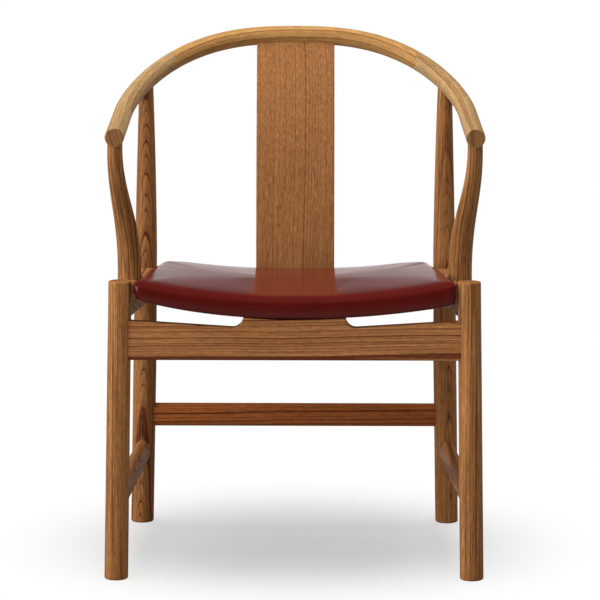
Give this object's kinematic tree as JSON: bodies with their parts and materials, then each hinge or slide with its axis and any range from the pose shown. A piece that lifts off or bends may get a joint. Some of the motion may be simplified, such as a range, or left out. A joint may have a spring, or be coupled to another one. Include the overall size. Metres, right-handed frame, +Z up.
{
  "type": "armchair",
  "caption": "Horseshoe-back armchair: bent, spliced top rail on turned rear legs and curved arm posts, bent back splat, and a leather-covered saddle seat.",
  "frame": {"origin": "on the floor under the middle of the chair's bounding box", "axes": "+Z up, +Y from the open front of the seat to the back, +X to the side on a person's left who sits in the chair"},
  "size_m": [0.579, 0.5448, 0.81],
  "materials": {
    "crest_wood": "oiled, satin",
    "arm_wood": "oiled, satin",
    "splat_wood": "oiled, satin",
    "leg_wood": "oiled, satin",
    "post_wood": "oiled, satin",
    "rail_wood": "oiled, satin",
    "stretcher_wood": "oiled, satin",
    "cleat_wood": "unfinished",
    "screw_steel": "plain steel",
    "shell_plywood": "unfinished moulded plywood",
    "seat_foam": "open-cell foam",
    "seat_leather": "glossy, smooth",
    "lining_cloth": "thin matt cloth"
  },
  "bodies": {
    "root": {"crest_rail": "crest_wood", "arm_rail_left": "arm_wood", "arm_rail_right": "arm_wood", "back_splat": "splat_wood", "front_leg_left": "leg_wood", "front_leg_right": "leg_wood", "rear_leg_left": "leg_wood", "rear_leg_right": "leg_wood", "arm_post_left": "post_wood", "arm_post_right": "post_wood", "front_seat_rail": "rail_wood", "rear_seat_rail": "rail_wood", "side_seat_rail_left": "rail_wood", "side_seat_rail_right": "rail_wood", "side_stretcher_left": "stretcher_wood", "side_stretcher_right": "stretcher_wood", "rear_stretcher": "stretcher_wood", "front_seat_cleat": "cleat_wood", "rear_seat_cleat": "cleat_wood", "seat_screws": "screw_steel", "cleat_screws": "screw_steel", "seat_shell": "shell_plywood", "seat_foam": "seat_foam", "seat_cover": "seat_leather", "seat_lining": "lining_cloth"}
  },
  "joints": []
}
